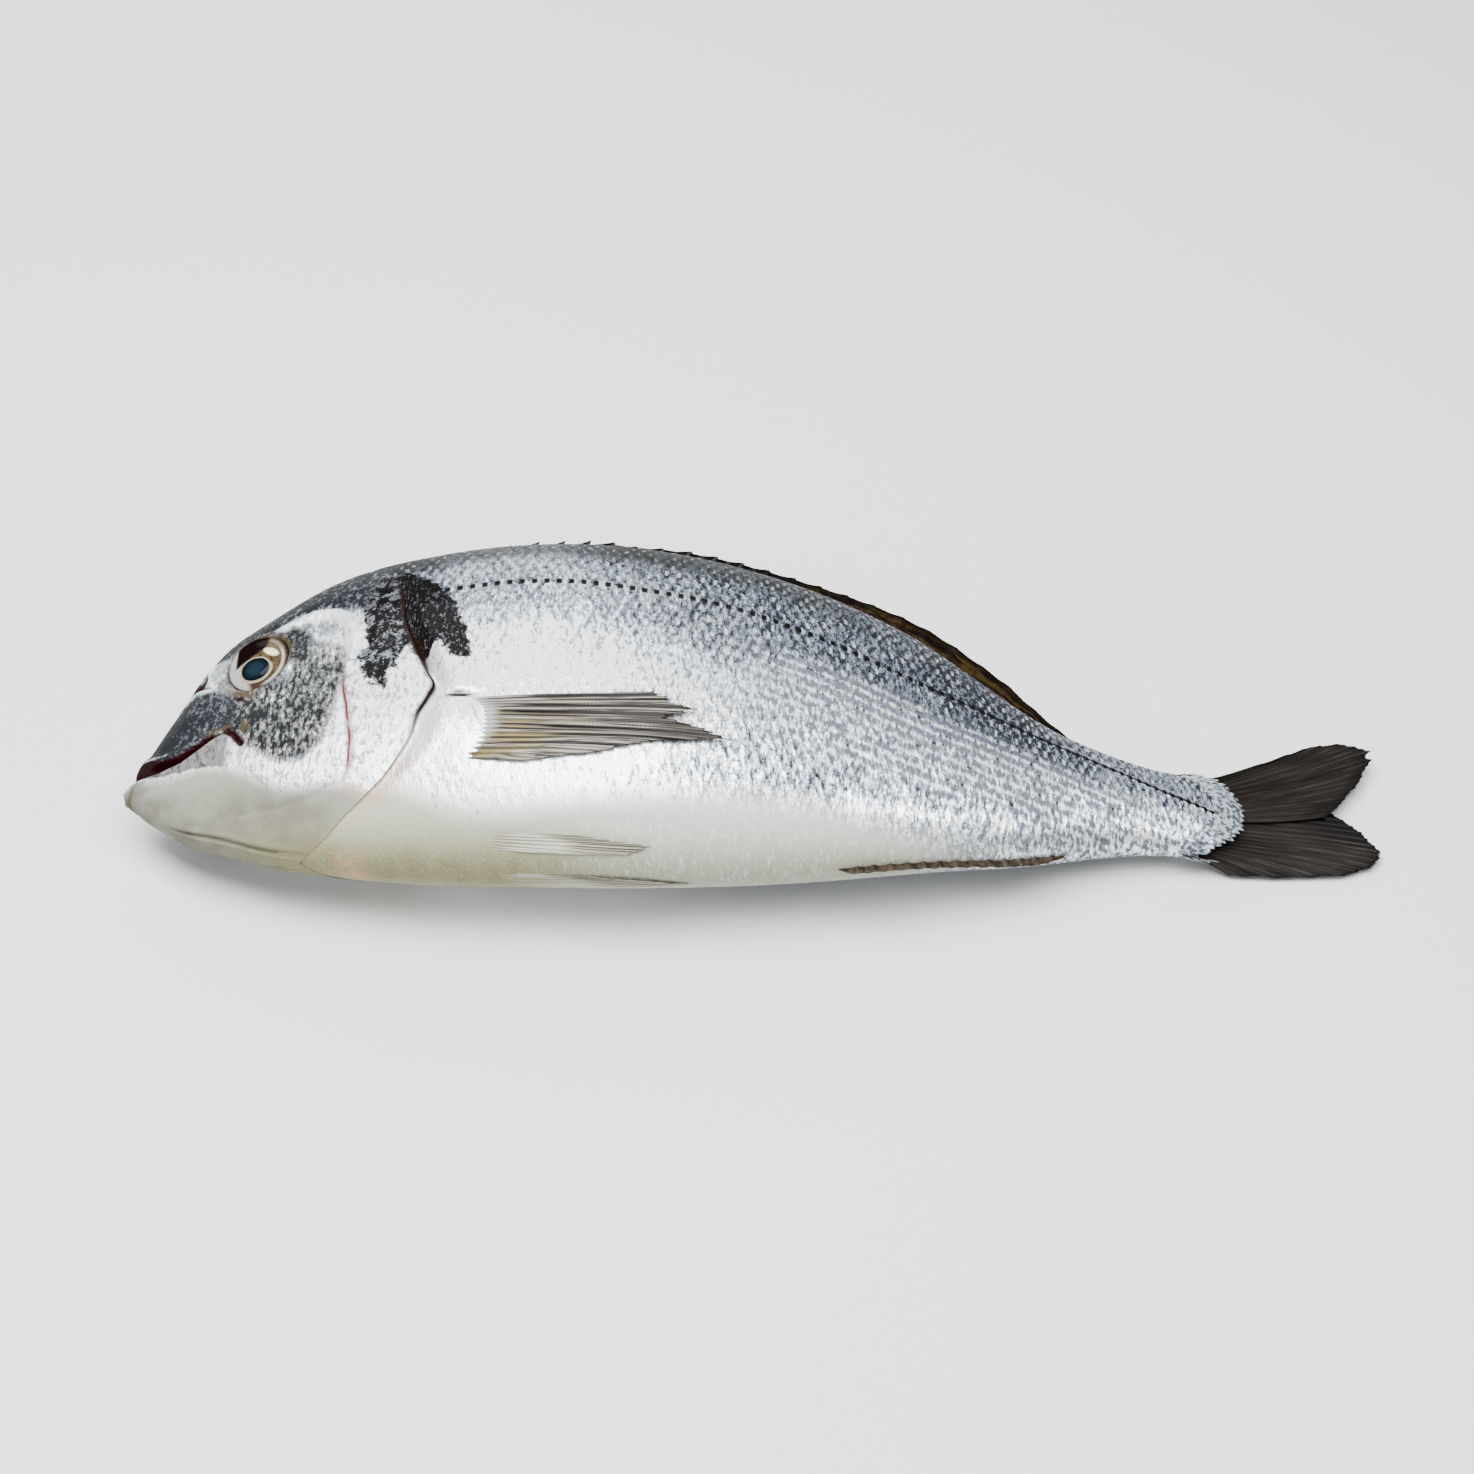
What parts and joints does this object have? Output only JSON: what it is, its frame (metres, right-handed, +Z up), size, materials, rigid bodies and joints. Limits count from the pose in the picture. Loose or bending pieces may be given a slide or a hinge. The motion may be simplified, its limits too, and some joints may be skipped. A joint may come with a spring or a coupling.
{
  "type": "whole raw sea bream",
  "caption": "Whole raw sea bream with head, scales and fins, lying flat on its right side as on a kitchen board.",
  "frame": {"origin": "on the surface that the fish lies on, under the middle of its length and depth", "axes": "+X from snout to tail, +Y from belly to back, +Z up through the left flank"},
  "size_m": [0.3002, 0.1135, 0.0468],
  "materials": {
    "silver_skin": "wet silver skin"
  },
  "bodies": {
    "root": {"fish": "silver_skin"}
  },
  "joints": []
}
